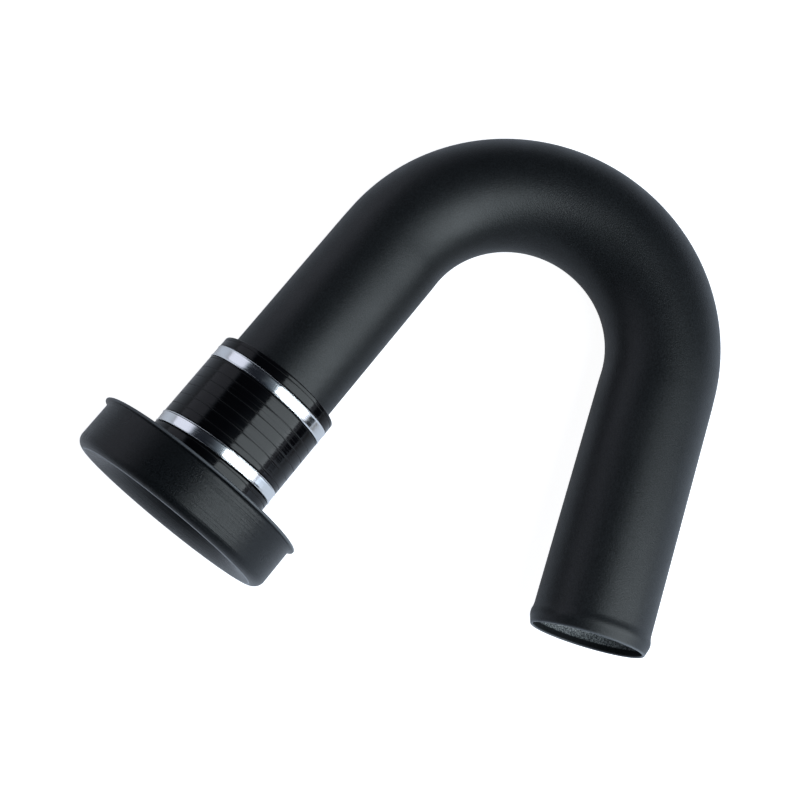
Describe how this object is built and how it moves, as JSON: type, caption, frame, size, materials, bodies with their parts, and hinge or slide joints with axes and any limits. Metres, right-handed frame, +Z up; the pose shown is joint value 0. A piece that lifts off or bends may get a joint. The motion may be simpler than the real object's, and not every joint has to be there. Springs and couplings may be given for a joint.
{
  "type": "cold air intake pipe",
  "caption": "Bent aluminium intake tube with a beaded mouth, a rubber coupler held by two worm-drive clamps, and a spun bell-mouth filter adapter.",
  "frame": {"origin": "middle of the bounding box's bottom face, on the ground that the part lies on", "axes": "+Z up; +X across the two legs, from the filter adapter to the mouth leg; +Y from the open ends to the bend"},
  "size_m": [0.3812, 0.344, 0.1516],
  "materials": {
    "powder_coat": "satin black powder coat with a fine grain, on aluminium tube",
    "adapter_coat": "satin black powder coat on spun aluminium sheet",
    "coupler_rubber": "gloss black silicone rubber, wrapped and cured, with fine wrap lines",
    "band_steel": "bright polished stainless steel",
    "plated_steel": "bright zinc-plated pressed steel"
  },
  "bodies": {
    "root": {"intake_tube": "powder_coat", "coupler_sleeve": "coupler_rubber", "filter_adapter": "adapter_coat", "upper_clamp_band": "band_steel", "upper_clamp_housing": "plated_steel", "upper_clamp_screw": "plated_steel", "lower_clamp_band": "band_steel", "lower_clamp_housing": "plated_steel", "lower_clamp_screw": "plated_steel"}
  },
  "joints": []
}
